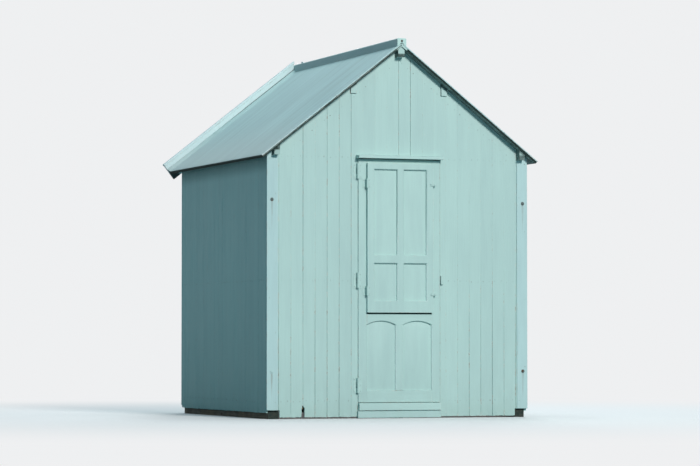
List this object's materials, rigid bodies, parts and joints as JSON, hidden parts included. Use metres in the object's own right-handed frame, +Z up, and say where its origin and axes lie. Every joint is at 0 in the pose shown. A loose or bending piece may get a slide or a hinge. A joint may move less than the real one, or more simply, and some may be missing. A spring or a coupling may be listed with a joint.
{
  "type": "beach hut",
  "caption": "Small gabled timber beach hut: boarded walls on frames, overhanging pitched roof with raised rear verge, and an outward-opening panelled door with a shutter leaf.",
  "frame": {"origin": "on the ground at the centre of the plan, on the underside of the middle bearer", "axes": "+X to the right across the front gable, +Y from the front gable to the back, +Z up"},
  "size_m": [2.2032, 2.25, 2.7457],
  "materials": {
    "mint_paint": "mint green exterior paint, satin, lightly weathered",
    "roof_paint": "mint green roof paint, matt, lightly weathered",
    "bare_timber": "unpainted sawn softwood",
    "painted_iron": "iron painted over with the walls, rust at the edges"
  },
  "bodies": {
    "hut": {"middle_bearer": "bare_timber", "outer_bearers": "bare_timber", "floor_deck": "bare_timber", "front_wall_left": "mint_paint", "front_wall_right": "mint_paint", "front_wall_over_door": "mint_paint", "back_wall": "mint_paint", "left_wall": "mint_paint", "right_wall": "mint_paint", "front_corner_boards": "mint_paint", "back_corner_boards": "mint_paint", "front_corner_posts": "bare_timber", "back_corner_posts": "bare_timber", "side_wall_rails": "bare_timber", "front_wall_rails": "bare_timber", "back_wall_rails": "bare_timber", "door_posts": "bare_timber", "front_left_rafter": "bare_timber", "front_right_rafter": "bare_timber", "back_left_rafter": "bare_timber", "back_right_rafter": "bare_timber", "ridge_beam": "mint_paint", "middle_purlins": "mint_paint", "eaves_purlins": "mint_paint", "left_roof_slope": "roof_paint", "right_roof_slope": "roof_paint", "ridge_batten": "roof_paint", "verge_boards": "roof_paint", "verge_caps": "roof_paint", "door_sill": "mint_paint", "kick_board": "mint_paint", "drip_board": "mint_paint", "door_hinge_brackets": "painted_iron", "lock_keeper": "painted_iron"},
    "door": {"door_stiles": "mint_paint", "door_top_rail": "mint_paint", "door_lock_rail": "mint_paint", "door_bottom_rail": "mint_paint", "door_muntin": "mint_paint", "door_panels": "mint_paint", "upper_leaf_frame": "mint_paint", "upper_leaf_panels": "mint_paint", "upper_leaf_hinges": "painted_iron", "upper_leaf_catches": "painted_iron", "door_hinge_straps": "painted_iron"}
  },
  "joints": [
    {"name": "door_hinge", "type": "hinge", "parent": "hut", "child": "door", "pos_m": [-0.319, -1.0195, 0.981], "axis": [0, 0, -1], "range_deg": [0, 150]}
  ]
}
